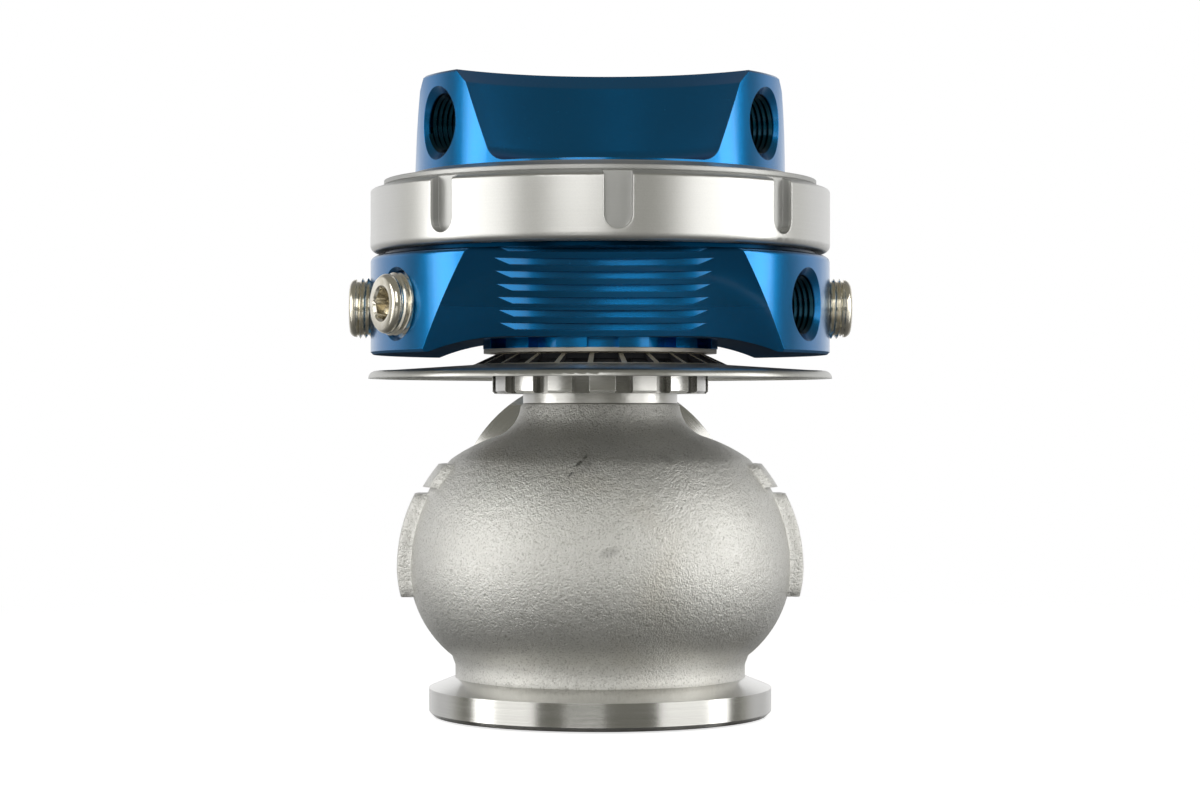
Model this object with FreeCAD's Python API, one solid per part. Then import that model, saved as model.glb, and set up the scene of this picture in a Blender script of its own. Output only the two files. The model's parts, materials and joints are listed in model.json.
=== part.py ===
"""External turbo wastegate, 40 mm class, V-band inlet and outlet.

Millimetres, +Z up along the valve axis, origin at the centre of the inlet flange's lower face.
The outlet points to +Y. Angles are counted about Z from the front (-Y) towards +X.
Each function builds one piece, and each piece is written to its own STEP file.
"""

import FreeCAD, Part

import math
import os

from FreeCAD import Vector

# ---- Valve body: inlet flange, bulb, neck and outlet -------------------------------------------
INLET_FLANGE_R = 29.05
INLET_FLANGE_RIM = 4.6
INLET_FLANGE_TOP = 6.4
INLET_PIPE_R = 24.6
CASTING_WALL = 3.2
BULB_CENTRE_Z = 25.0
BULB_LOWER_RADIUS = 19.0
BULB_UPPER_RADIUS = 27.0
BULB_R = 32.4
SHOULDER_Z = 43.2
NECK_FOOT_Z = 52.7
NECK_R = 13.1
NECK_TOP_Z = 64.2
GUIDE_BOSS_R = 10.6
GUIDE_BOSS_Z = 38.5

OUTLET_Z = 32.0
OUTLET_BORE_R = 19.0
OUTLET_PIPE_R = 22.3
OUTLET_FLANGE_R = 26.0
OUTLET_FACE_Y = 47.5
OUTLET_FLANGE_RIM = 4.3
OUTLET_FLANGE_BEVEL = 2.4
OUTLET_BORE_START_Y = 12.5
OUTLET_PIPE_START_Y = 8.0

RIB_CROSS_PROUD = 1.4
RIB_CROSS = (-9.0, 9.0, 38.6, 42.4)
RIB_BAR_PROUD = 2.1
RIB_BAR = (-5.2, 5.2, 20.1, 37.4)
RIB_GROOVES = (-2.6, 2.6)
RIB_GROOVE_W = 1.1
RIB_GROOVE_DEPTH = 1.2

# ---- Valve train -------------------------------------------------------------------------------
SEAT_RING_R = 22.2
SEAT_RING_TOP = 6.0
SEAT_BORE_R = 19.5
SEAT_CHAMFER = 1.1
SEAT_LASH = 0.02
VALVE_FACE_Z = 4.4
VALVE_HEAD_R = 20.6
VALVE_CHAMBER_R = 21.3
STEM_R = 4.0
STEM_THREAD_R = 3.0
STEM_TOP_Z = 77.0
GUIDE_R = 7.0
GUIDE_BORE_R = 4.04
GUIDE_TOP_Z = 58.0

# ---- Clamping of the actuator on the neck ------------------------------------------------------
NUT_R = 18.36
NUT_BOTTOM_Z = 54.3
NUT_TOP_Z = 60.35
NUT_FLUTES = 16
NUT_FLUTE_W = 2.9
NUT_FLUTE_DEPTH = 1.7
SPIGOT_R = 15.55
HUB_THREAD_R = 15.6
RING_BOTTOM_Z = 62.2
RING_TOP_Z = 63.4
RING_GROOVE_R = 12.3
RING_R = 14.9
RUNNING_GAP = 0.05

SHIELD_R = 39.3
SHIELD_SHEET = 0.75
SHIELD_HOLE_R = 15.7
SHIELD_TOP_Z = 61.1
SHIELD_CONE_TOP_R = 17.5
SHIELD_CONE_FOOT_R = 21.7
SHIELD_CONE_FOOT_Z = 59.15
SHIELD_LIP_Z = 56.85
WINDOWS = 24
WINDOW_ANGLE = 12.6
WINDOW_FIRST_ANGLE = 2.0
WASHER_R = 19.8
WASHER_TOP_Z = 61.8

# ---- Actuator body -----------------------------------------------------------------------------
BODY_R = 38.9
BODY_BOTTOM_Z = 60.9
BODY_TOP_Z = 77.4
BODY_NECK_R = 36.6
BODY_NECK_TOP_Z = 85.4
HUB_R = 20.0
HUB_RECESS_Z = 63.5
HUB_RECESS_FLAT_R = 26.0
HUB_RECESS_R = 37.8
HUB_TEETH = 12
HUB_TOOTH_ANGLE = 15.0
CHAMBER_FLOOR_Z = 66.4
CHAMBER_FLOOR_R = 16.8
CHAMBER_SHELF_Z = 79.4
CHAMBER_SHELF_R = 23.2
CHAMBER_R = 30.5

BODY_SCALLOP_AXIS = 88.0
BODY_SCALLOP_BOTTOM = 19.2
BODY_SCALLOP_SLOPE = math.tan(math.radians(28.5))
FINS = 7
FIN_PITCH = 2.04
FIN_FIRST_Z = 65.1
FIN_GAP = 1.05
FIN_DEPTH = 1.7
FIN_CUTTER_R = 36.0

PORT_THREAD_R = 4.8
PORT_COUNTERSINK_R = 6.05
PORT_DEPTH = 9.5
PORT_DRILL_R = 2.1
BODY_PORT_Z = 68.8
BODY_PORTS = (-90.0, -60.0, 60.0, 90.0)
PLUG_R = 5.15
PLUG_ROOT_R = 4.78
PLUG_ENDS = ((-90.0, 42.4), (-60.0, 41.6), (90.0, 42.5))
PLUG_SOCKET_AF = 4.8
PLUG_SOCKET_DEPTH = 5.0

# ---- Collar and cap ----------------------------------------------------------------------------
COLLAR_R = 38.95
COLLAR_BOTTOM_Z = 78.1
COLLAR_SIDE_TOP_Z = 88.2
COLLAR_TOP_Z = 91.3
COLLAR_BORE_R = 36.65
COLLAR_LIP_R = 31.6
NOTCHES = 8
NOTCH_FIRST_ANGLE = 3.0
NOTCH_W = 4.6
NOTCH_BOTTOM_Z = 79.9
NOTCH_FLOOR_R = 37.1

CAP_R = 31.35
CAP_TOP_Z = 107.0
CAP_FLANGE_R = 36.2
CAP_FLANGE_BOTTOM_Z = 86.6
CAP_FLANGE_TOP_Z = 90.2
CAP_ROOF_Z = 89.6
CAP_SCALLOP_AXIS = 43.5
CAP_SCALLOPS = (0.0, 120.0, 240.0)
CAP_SCALLOP_FLOOR_Z = 91.7
CAP_SCALLOP_KINK_Z = 104.7
CAP_SCALLOP_TOP = 10.0
CAP_SCALLOP_KINK = 12.6
CAP_SCALLOP_FLOOR = 18.16
CAP_SCALLOP_FILLET = 3.7
CAP_PORT_Z = 98.7
CAP_PORTS = (60.0, 180.0, 300.0)
SPRING_POCKET_R = 13.2
OUTER_SPRING_TOP_Z = 97.5
INNER_POCKET_R = 10.0
INNER_SPRING_TOP_Z = 101.5

# ---- Piston, diaphragm and springs -------------------------------------------------------------
PISTON_BOTTOM_Z = 68.7
PISTON_SEAT_Z = 70.7
PISTON_CUP_R = 15.2
PISTON_FLANGE_R = 20.8
PISTON_FLANGE_Z = 79.2
PISTON_TOP_Z = 81.2
DIAPHRAGM_SHEET = 1.0
DIAPHRAGM_RIM_Z = 85.4
CLAMP_RING_R = 20.3
CLAMP_RING_BOTTOM_Z = 76.4
OUTER_SPRING = {"mean_r": 11.2, "wire_r": 1.2, "turns": 5}
INNER_SPRING = {"mean_r": 7.4, "wire_r": 0.9, "turns": 7}

AXIS = Vector(0, 0, 1)
ORIGIN = Vector(0, 0, 0)
BIG = 120.0


# ---- Helpers -----------------------------------------------------------------------------------
class Via:
    """A point that the edge between its two neighbours passes through, as an arc."""

    def __init__(self, r, z):
        self.r, self.z = r, z


def turned(outline):
    """Solid of revolution about Z. The outline is a closed list of (r, z) corners and Via points."""
    edges = []
    count = len(outline)
    for i, start in enumerate(outline):
        if isinstance(start, Via):
            continue
        after = outline[(i + 1) % count]
        first = Vector(start[0], 0, start[1])
        if isinstance(after, Via):
            end = outline[(i + 2) % count]
            middle = Vector(after.r, 0, after.z)
            edges.append(Part.Arc(first, middle, Vector(end[0], 0, end[1])).toShape())
        else:
            edges.append(Part.LineSegment(first, Vector(after[0], 0, after[1])).toShape())
    return Part.Face(Part.Wire(edges)).revolve(ORIGIN, AXIS, 360)


def arc_r(centre_r, radius, z):
    """Outer radius at height z of a bulb arc whose centre lies at the bulb's widest height."""
    return centre_r + math.sqrt(radius**2 - (z - BULB_CENTRE_Z) ** 2)


def at_angle(shape, angle):
    """A copy of a shape built at the front, turned about Z towards +X."""
    turned_shape = shape.copy()
    turned_shape.rotate(ORIGIN, AXIS, angle)
    return turned_shape


def outward(shape, height):
    """Lays a shape built along +Z down so that +Z points out to the front at the given height."""
    laid = shape.copy()
    laid.rotate(ORIGIN, Vector(1, 0, 0), 90)
    laid.translate(Vector(0, 0, height))
    return laid


def sector(r_in, r_out, z_low, z_high, angle):
    """Ring sector centred on the front."""
    start = Vector(0, 0, z_low)
    outer = Part.makeCylinder(r_out, z_high - z_low, start, AXIS, angle)
    inner = Part.makeCylinder(r_in, z_high - z_low, start, AXIS, angle)
    piece = outer.cut(inner)
    piece.rotate(ORIGIN, AXIS, -90 - angle / 2)
    return piece


def box(x_low, x_high, y_low, y_high, z_low, z_high):
    """Box between two corners."""
    corner = Vector(x_low, y_low, z_low)
    return Part.makeBox(x_high - x_low, y_high - y_low, z_high - z_low, corner)


def repeated(shape, count, first_angle=0.0):
    """Copies of a shape evenly spaced about Z, as a list."""
    return [at_angle(shape, first_angle + i * 360.0 / count) for i in range(count)]


def port_cutter(face_r, height, drill_end_r):
    """Threaded port with countersink, drilled through to a chamber, cut from the front."""
    lip = PORT_COUNTERSINK_R - PORT_THREAD_R
    run_out = 3.0
    profile = [
        (0, drill_end_r),
        (PORT_DRILL_R, drill_end_r),
        (PORT_DRILL_R, face_r - PORT_DEPTH),
        (PORT_THREAD_R, face_r - PORT_DEPTH),
        (PORT_THREAD_R, face_r - lip),
        (PORT_COUNTERSINK_R + run_out, face_r + run_out),
        (0, face_r + run_out),
    ]
    return outward(turned(profile), height)


# ---- Root pieces -------------------------------------------------------------------------------
def bulb_outline():
    """Outer edge of the casting, from the inlet flange's lower face up to the neck's top."""
    lower_centre = BULB_R - BULB_LOWER_RADIUS
    upper_centre = BULB_R - BULB_UPPER_RADIUS
    foot_z, low_z, high_z = 10.1, 16.0, 35.8
    groove_edge = 0.4
    return [
        (INLET_FLANGE_R - 0.7, 0),
        (INLET_FLANGE_R, 0.7),
        (INLET_FLANGE_R, INLET_FLANGE_RIM),
        (INLET_PIPE_R, INLET_FLANGE_TOP),
        (INLET_PIPE_R, foot_z - 1.6),
        (arc_r(lower_centre, BULB_LOWER_RADIUS, foot_z), foot_z),
        Via(arc_r(lower_centre, BULB_LOWER_RADIUS, low_z), low_z),
        (BULB_R, BULB_CENTRE_Z),
        Via(arc_r(upper_centre, BULB_UPPER_RADIUS, high_z), high_z),
        (arc_r(upper_centre, BULB_UPPER_RADIUS, SHOULDER_Z), SHOULDER_Z),
        Via(21.2, 45.65),
        (17.2, 47.2),
        Via(14.6, 49.3),
        (13.5, NECK_FOOT_Z - 0.5),
        (NECK_R, NECK_FOOT_Z),
        (NECK_R, RING_BOTTOM_Z),
        (RING_GROOVE_R, RING_BOTTOM_Z),
        (RING_GROOVE_R, RING_TOP_Z),
        (NECK_R, RING_TOP_Z),
        (NECK_R, NECK_TOP_Z - groove_edge),
        (NECK_R - groove_edge, NECK_TOP_Z),
    ]


def bulb_cavity():
    """Gas space of the bulb with the seat's counterbore, and the bores of the neck above it."""
    lower_centre = BULB_R - BULB_LOWER_RADIUS
    upper_centre = BULB_R - BULB_UPPER_RADIUS
    lower_r = BULB_LOWER_RADIUS - CASTING_WALL
    upper_r = BULB_UPPER_RADIUS - CASTING_WALL
    chamber_z, low_z, high_z, roof_z = 11.3, 16.5, 34.5, 41.0
    gas = turned(
        [
            (0, -1),
            (SEAT_RING_R, -1),
            (SEAT_RING_R, SEAT_RING_TOP),
            (VALVE_CHAMBER_R, SEAT_RING_TOP),
            (VALVE_CHAMBER_R, chamber_z),
            Via(arc_r(lower_centre, lower_r, low_z), low_z),
            (BULB_R - CASTING_WALL, BULB_CENTRE_Z),
            Via(arc_r(upper_centre, upper_r, high_z), high_z),
            (arc_r(upper_centre, upper_r, roof_z), roof_z),
            (GUIDE_BOSS_R + 2.0, 44.2),
            Via(GUIDE_BOSS_R + 0.5, 43.8),
            (GUIDE_BOSS_R, 42.6),
            (GUIDE_BOSS_R, GUIDE_BOSS_Z),
            (0, GUIDE_BOSS_Z),
        ]
    )
    neck_bore = turned(
        [
            (0, GUIDE_BOSS_Z - 1),
            (GUIDE_R, GUIDE_BOSS_Z - 1),
            (GUIDE_R, GUIDE_TOP_Z),
            (9.0, GUIDE_TOP_Z),
            (9.0, NECK_TOP_Z + 1),
            (0, NECK_TOP_Z + 1),
        ]
    )
    return gas.fuse(neck_bore)


def outlet_pipe():
    """Outlet pipe and V-band flange, laid along +Y."""
    rim_start = OUTLET_FACE_Y - OUTLET_FLANGE_RIM
    profile = [
        (0, OUTLET_PIPE_START_Y),
        (OUTLET_PIPE_R, OUTLET_PIPE_START_Y),
        (OUTLET_PIPE_R, rim_start - OUTLET_FLANGE_BEVEL),
        (OUTLET_FLANGE_R, rim_start),
        (OUTLET_FLANGE_R, OUTLET_FACE_Y - 0.6),
        (OUTLET_FLANGE_R - 0.6, OUTLET_FACE_Y),
        (0, OUTLET_FACE_Y),
    ]
    return at_angle(outward(turned(profile), OUTLET_Z), 180)


def swollen_bulb(outline, proud):
    """Solid bulb whose wall stands proud of the casting's outer edge, up to the shoulder."""
    swollen = []
    for point in outline:
        if isinstance(point, Via):
            swollen.append(Via(point.r + proud, point.z))
        else:
            swollen.append((point[0] + proud, point[1]))
    shoulder = next(i for i, p in enumerate(swollen) if not isinstance(p, Via) and p[1] > SHOULDER_Z)
    return turned([(0, 0), *swollen[: shoulder + 1], (0, swollen[shoulder][1])])


def casting_ribs(outline):
    """Plain raised ribs on both sides of the bulb, following its curve."""
    cross = box(0, BIG, *RIB_CROSS).common(swollen_bulb(outline, RIB_CROSS_PROUD))
    skin = swollen_bulb(outline, RIB_BAR_PROUD)
    side = cross.fuse(box(0, BIG, *RIB_BAR).common(skin))
    z_low, z_high = RIB_BAR[2] + 2.6, RIB_BAR[3] - 2.6
    shallow = box(0, BIG, -BIG, BIG, z_low, z_high).cut(
        skin.copy().translate(Vector(-RIB_GROOVE_DEPTH, 0, 0))
    )
    for y in RIB_GROOVES:
        strip = box(0, BIG, y - RIB_GROOVE_W / 2, y + RIB_GROOVE_W / 2, z_low, z_high)
        side = side.cut(strip.common(shallow))
    return [side, at_angle(side, 180)]


def valve_body():
    """Cast body: bulb, neck, outlet and side ribs, hollow inside."""
    outline = bulb_outline()
    casting = turned([(0, 0), *outline, (0, NECK_TOP_Z)])
    neck_clear = Part.makeCylinder(NECK_R + 6, 20, Vector(0, 0, NECK_FOOT_Z))
    pipe = outlet_pipe().cut(neck_clear)
    casting = casting.fuse([pipe, *casting_ribs(outline)])
    bore_length = OUTLET_FACE_Y + 1 - OUTLET_BORE_START_Y
    bore_start = Vector(0, OUTLET_BORE_START_Y, OUTLET_Z)
    outlet_bore = Part.makeCylinder(OUTLET_BORE_R, bore_length, bore_start, Vector(0, 1, 0))
    return casting.cut([bulb_cavity(), outlet_bore]).removeSplitter()


def valve_seat():
    """Seat ring in the inlet flange, with a 45 degree seat for the valve."""
    seat_top_r = SEAT_BORE_R + SEAT_CHAMFER
    return turned(
        [
            (SEAT_BORE_R, 0.2),
            (SEAT_RING_R, 0.2),
            (SEAT_RING_R, SEAT_RING_TOP),
            (seat_top_r, SEAT_RING_TOP),
            (SEAT_BORE_R, SEAT_RING_TOP - SEAT_CHAMFER),
        ]
    )


def valve_guide():
    """Plain bush pressed into the neck."""
    return turned(
        [
            (GUIDE_BORE_R, 37.0),
            (GUIDE_R - 1.2, 37.0),
            (GUIDE_R, 38.2),
            (GUIDE_R, GUIDE_TOP_Z),
            (GUIDE_BORE_R, GUIDE_TOP_Z),
        ]
    )


def lock_nut():
    """Fluted union nut whose threaded spigot screws up into the actuator's hub."""
    bore = NECK_R + RUNNING_GAP
    nut = turned(
        [
            (bore, NUT_BOTTOM_Z + 0.4),
            (bore + 0.4, NUT_BOTTOM_Z),
            (NUT_R - 0.4, NUT_BOTTOM_Z),
            (NUT_R, NUT_BOTTOM_Z + 0.4),
            (NUT_R, NUT_TOP_Z - 1.2),
            (NUT_R - 1.4, NUT_TOP_Z),
            (SPIGOT_R, NUT_TOP_Z),
            (SPIGOT_R, RING_BOTTOM_Z),
            (bore, RING_BOTTOM_Z),
        ]
    )
    floor_r = NUT_R - NUT_FLUTE_DEPTH
    half = NUT_FLUTE_W / 2
    flute = box(-half, half, -NUT_R - 1, -floor_r, NUT_BOTTOM_Z - 1, NUT_TOP_Z - 0.05)
    pitch = 360.0 / NUT_FLUTES
    return nut.cut(repeated(flute, NUT_FLUTES, pitch / 2))


def retaining_ring():
    """Split ring in the neck's groove."""
    ring = turned(
        [
            (RING_GROOVE_R, RING_BOTTOM_Z),
            (RING_R, RING_BOTTOM_Z),
            (RING_R, RING_TOP_Z),
            (RING_GROOVE_R, RING_TOP_Z),
        ]
    )
    split = box(-1.5, 1.5, 0, BIG, RING_BOTTOM_Z - 1, RING_TOP_Z + 1)
    return ring.cut(split)


def neck_gasket():
    """Flat gasket between the neck's end and the actuator's web."""
    return turned([(9.3, NECK_TOP_Z), (12.6, NECK_TOP_Z), (12.6, 64.6), (9.3, 64.6)])


def heat_shield():
    """Pressed disc with a rolled-down lip and a raised cone cut into narrow bridges."""
    t = SHIELD_SHEET
    shield = turned(
        [
            (SHIELD_HOLE_R, SHIELD_TOP_Z),
            (SHIELD_CONE_TOP_R, SHIELD_TOP_Z),
            (SHIELD_CONE_FOOT_R, SHIELD_CONE_FOOT_Z),
            (SHIELD_R - 1.5, 58.1),
            Via(SHIELD_R - 0.35, 57.75),
            (SHIELD_R, 57.05),
            (SHIELD_R, SHIELD_LIP_Z),
            (SHIELD_R - t, SHIELD_LIP_Z),
            (SHIELD_R - t, 56.95),
            Via(SHIELD_R - 0.35 - t, 57.25),
            (SHIELD_R - 1.6, 58.1 - t),
            (SHIELD_CONE_FOOT_R - 0.3, SHIELD_CONE_FOOT_Z - t),
            (SHIELD_CONE_TOP_R - 0.3, SHIELD_TOP_Z - t),
            (SHIELD_HOLE_R, SHIELD_TOP_Z - t),
        ]
    )
    window = sector(SHIELD_CONE_TOP_R + 0.4, SHIELD_CONE_FOOT_R - 0.3, 55, 65, WINDOW_ANGLE)
    return shield.cut(repeated(window, WINDOWS, WINDOW_FIRST_ANGLE))


def shield_washer():
    """Flat ring between the heat shield and the actuator's hub."""
    return turned(
        [
            (SHIELD_HOLE_R, SHIELD_TOP_Z),
            (WASHER_R, SHIELD_TOP_Z),
            (WASHER_R, WASHER_TOP_Z),
            (SHIELD_HOLE_R, WASHER_TOP_Z),
        ]
    )


# ---- Actuator pieces ---------------------------------------------------------------------------
def body_scallop_distance(z):
    """Distance from the valve axis to the scallop's middle at height z."""
    return BODY_SCALLOP_BOTTOM + BODY_SCALLOP_SLOPE * (z - 61.0)


def body_scallop():
    """Conical cutter that hollows the front of the actuator body, leaving the hub round."""
    low, high = 55.0, BODY_TOP_Z
    cone = turned(
        [
            (0, low),
            (BODY_SCALLOP_AXIS - body_scallop_distance(low), low),
            (BODY_SCALLOP_AXIS - body_scallop_distance(high), high),
            (0, high),
        ]
    )
    cone.translate(Vector(0, -BODY_SCALLOP_AXIS, 0))
    hub = Part.makeCylinder(HUB_R, HUB_RECESS_Z - 55, Vector(0, 0, 55))
    return cone.cut(hub)


def fin_cutters():
    """Flat slots that leave fins on the scallop; the last one is open at the body's top edge."""
    slots = []
    for i in range(FINS):
        z = FIN_FIRST_Z + i * FIN_PITCH
        reach = body_scallop_distance(z) - FIN_DEPTH
        height = min(FIN_GAP, BODY_TOP_Z - z + FIN_GAP / 2)
        foot = Vector(0, -reach - FIN_CUTTER_R, z - FIN_GAP / 2)
        slots.append(Part.makeCylinder(FIN_CUTTER_R, height, foot))
    return slots


def actuator_body():
    """Anodised body with chamber, threaded neck, finned scallops, ports and castellated hub."""
    body = turned(
        [
            (HUB_R, WASHER_TOP_Z),
            (HUB_R, HUB_RECESS_Z),
            (HUB_RECESS_FLAT_R, HUB_RECESS_Z),
            Via(32.5, 62.75),
            (HUB_RECESS_R, BODY_BOTTOM_Z),
            (BODY_R - 0.4, BODY_BOTTOM_Z),
            (BODY_R, BODY_BOTTOM_Z + 0.4),
            (BODY_R, BODY_TOP_Z - 1.0),
            Via(BODY_R - 0.3, BODY_TOP_Z - 0.3),
            (BODY_R - 1.0, BODY_TOP_Z),
            (BODY_NECK_R, BODY_TOP_Z),
            (BODY_NECK_R, BODY_NECK_TOP_Z),
            (CHAMBER_R, BODY_NECK_TOP_Z),
            (CHAMBER_R, CHAMBER_SHELF_Z),
            (CHAMBER_SHELF_R, CHAMBER_SHELF_Z),
            (CHAMBER_FLOOR_R, CHAMBER_FLOOR_Z),
            (8.0, CHAMBER_FLOOR_Z),
            (8.0, 68.2),
            (6.5, 68.2),
            (6.5, 65.8),
            (4.6, 65.8),
            (4.6, 64.6),
            (NECK_R + RUNNING_GAP, 64.6),
            (NECK_R + RUNNING_GAP, RING_TOP_Z),
            (HUB_THREAD_R, RING_TOP_Z),
            (HUB_THREAD_R, WASHER_TOP_Z),
        ]
    )
    front = [body_scallop(), *fin_cutters()]
    back = [at_angle(cutter, 180) for cutter in front]
    gap = sector(17.2, HUB_R + 0.2, WASHER_TOP_Z - 0.5, HUB_RECESS_Z, HUB_TOOTH_ANGLE)
    gaps = repeated(gap, HUB_TEETH)
    port = port_cutter(BODY_R, BODY_PORT_Z, CHAMBER_FLOOR_R - 1.5)
    ports = [at_angle(port, angle) for angle in BODY_PORTS]
    return body.cut([*front, *back, *gaps, *ports])


def stem_seal():
    """Lip seal round the stem in the body's floor."""
    return turned(
        [
            (STEM_R + 0.04, 65.8),
            (6.5, 65.8),
            (6.5, 67.4),
            (STEM_R + 0.9, 67.4),
            (STEM_R + 0.04, 66.6),
        ]
    )


def seal_clip():
    """Clip that holds the stem seal down."""
    ring = turned([(5.2, 67.4), (6.5, 67.4), (6.5, 68.1), (5.2, 68.1)])
    return ring.cut(box(-1.2, 1.2, 0, 10, 67, 69))


def blanking_plugs():
    """Three pipe plugs with hexagon sockets, as separate solids."""
    plugs = []
    for angle, end_r in PLUG_ENDS:
        mouth_r = BODY_R - (PORT_COUNTERSINK_R - PORT_THREAD_R)
        profile = [
            (0, BODY_R - PORT_DEPTH + 0.4),
            (PLUG_ROOT_R, BODY_R - PORT_DEPTH + 0.4),
            (PLUG_ROOT_R, mouth_r),
            (PLUG_R - 0.1, BODY_R - 0.9),
            (PLUG_R, end_r - 0.7),
            (PLUG_R - 0.7, end_r),
            (0, end_r),
        ]
        corner_r = PLUG_SOCKET_AF / math.sqrt(3)
        corners = [
            Vector(
                corner_r * math.cos(math.radians(60 * k)),
                corner_r * math.sin(math.radians(60 * k)),
                end_r - PLUG_SOCKET_DEPTH,
            )
            for k in range(7)
        ]
        socket = Part.Face(Part.makePolygon(corners)).extrude(Vector(0, 0, PLUG_SOCKET_DEPTH + 1))
        lead_in = Part.makeCone(PLUG_SOCKET_AF / 2, corner_r + 0.3, 0.6, Vector(0, 0, end_r - 0.6))
        plug = outward(turned(profile).cut([socket, lead_in]), BODY_PORT_Z)
        plugs.append(at_angle(plug, angle))
    return Part.makeCompound(plugs)


# ---- Collar and cap ----------------------------------------------------------------------------
def locking_collar():
    """Screwed collar with a sloped top, a lip over the cap's flange and spanner notches."""
    collar = turned(
        [
            (COLLAR_BORE_R, COLLAR_BOTTOM_Z),
            (COLLAR_R - 1.2, COLLAR_BOTTOM_Z),
            Via(COLLAR_R - 0.35, COLLAR_BOTTOM_Z + 0.35),
            (COLLAR_R, COLLAR_BOTTOM_Z + 1.2),
            (COLLAR_R, COLLAR_SIDE_TOP_Z),
            Via(COLLAR_R - 0.2, COLLAR_SIDE_TOP_Z + 0.34),
            (COLLAR_R - 0.65, COLLAR_SIDE_TOP_Z + 0.5),
            (COLLAR_LIP_R + 0.6, COLLAR_TOP_Z - 0.2),
            (COLLAR_LIP_R + 0.3, COLLAR_TOP_Z),
            (COLLAR_LIP_R, COLLAR_TOP_Z),
            (COLLAR_LIP_R, CAP_FLANGE_TOP_Z),
            (COLLAR_BORE_R, CAP_FLANGE_TOP_Z),
        ]
    )
    half = NOTCH_W / 2
    centre_z = NOTCH_BOTTOM_Z + half
    end = Part.makeCylinder(half, 10, Vector(0, -NOTCH_FLOOR_R, centre_z), Vector(0, -1, 0))
    slot = box(-half, half, -NOTCH_FLOOR_R - 10, -NOTCH_FLOOR_R, centre_z, COLLAR_TOP_Z + 1)
    return collar.cut(repeated(end.fuse(slot), NOTCHES, NOTCH_FIRST_ANGLE))


def cap_scallop():
    """Turned cutter: round-cornered floor, sloped wall and a steeper band at the top edge."""
    axis = CAP_SCALLOP_AXIS
    top_slope = (CAP_SCALLOP_KINK - CAP_SCALLOP_TOP) / (CAP_TOP_Z - CAP_SCALLOP_KINK_Z)
    over = 1.0
    cutter = turned(
        [
            (0, CAP_SCALLOP_FLOOR_Z),
            (axis - CAP_SCALLOP_FLOOR, CAP_SCALLOP_FLOOR_Z),
            (axis - CAP_SCALLOP_KINK, CAP_SCALLOP_KINK_Z),
            (axis - CAP_SCALLOP_TOP + top_slope * over, CAP_TOP_Z + over),
            (0, CAP_TOP_Z + over),
        ]
    )
    foot = [
        edge
        for edge in cutter.Edges
        if abs(edge.BoundBox.ZMax - CAP_SCALLOP_FLOOR_Z) < 0.01
        and abs(edge.BoundBox.XMax - (axis - CAP_SCALLOP_FLOOR)) < 0.01
        and edge.BoundBox.YLength > 1
    ]
    cutter = cutter.makeFillet(CAP_SCALLOP_FILLET, foot)
    cutter.translate(Vector(0, -axis, 0))
    return cutter


def top_cap():
    """Three-lobed cap with a flange under the collar's lip, a spring pocket and a port per lobe."""
    cap = turned(
        [
            (0, CAP_TOP_Z),
            (CAP_R - 0.35, CAP_TOP_Z),
            (CAP_R, CAP_TOP_Z - 0.35),
            (CAP_R, CAP_FLANGE_TOP_Z),
            (CAP_FLANGE_R, CAP_FLANGE_TOP_Z),
            (CAP_FLANGE_R, CAP_FLANGE_BOTTOM_Z),
            (30.0, CAP_FLANGE_BOTTOM_Z),
            (30.0, CAP_ROOF_Z - 1.5),
            (28.5, CAP_ROOF_Z),
            (SPRING_POCKET_R, CAP_ROOF_Z),
            (SPRING_POCKET_R, OUTER_SPRING_TOP_Z),
            (INNER_POCKET_R, OUTER_SPRING_TOP_Z),
            (INNER_POCKET_R, INNER_SPRING_TOP_Z),
            (0, INNER_SPRING_TOP_Z),
        ]
    )
    scallops = [at_angle(cap_scallop(), angle) for angle in CAP_SCALLOPS]
    port = port_cutter(CAP_R, CAP_PORT_Z, INNER_POCKET_R - 1.5)
    ports = [at_angle(port, angle) for angle in CAP_PORTS]
    return cap.cut([*scallops, *ports])


# ---- Moving valve ------------------------------------------------------------------------------
def poppet_valve():
    """Tulip valve with a 45 degree face and a threaded stem end."""
    seat_low = SEAT_RING_TOP - SEAT_CHAMFER + SEAT_LASH
    face_in = SEAT_BORE_R - (seat_low - VALVE_FACE_Z)
    return turned(
        [
            (0, VALVE_FACE_Z),
            (face_in, VALVE_FACE_Z),
            (VALVE_HEAD_R, SEAT_RING_TOP + SEAT_LASH),
            (VALVE_HEAD_R, 7.2),
            (VALVE_HEAD_R - 0.9, 7.6),
            Via(8.6, 10.4),
            (STEM_R, 17.5),
            (STEM_R, PISTON_BOTTOM_Z),
            (STEM_THREAD_R, PISTON_BOTTOM_Z),
            (STEM_THREAD_R, STEM_TOP_Z - 0.5),
            (STEM_THREAD_R - 0.5, STEM_TOP_Z),
            (0, STEM_TOP_Z),
        ]
    )


def piston():
    """Deep cup that seats both springs, with a flange that clamps the diaphragm."""
    return turned(
        [
            (STEM_THREAD_R, PISTON_BOTTOM_Z),
            (PISTON_CUP_R - 1.5, PISTON_BOTTOM_Z),
            Via(PISTON_CUP_R - 0.44, PISTON_BOTTOM_Z + 0.44),
            (PISTON_CUP_R, PISTON_BOTTOM_Z + 1.5),
            (PISTON_CUP_R, PISTON_FLANGE_Z),
            (PISTON_FLANGE_R, PISTON_FLANGE_Z),
            (PISTON_FLANGE_R, PISTON_TOP_Z - 0.5),
            (PISTON_FLANGE_R - 0.5, PISTON_TOP_Z),
            (SPRING_POCKET_R, PISTON_TOP_Z),
            (SPRING_POCKET_R, PISTON_SEAT_Z),
            (STEM_THREAD_R, PISTON_SEAT_Z),
        ]
    )


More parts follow.
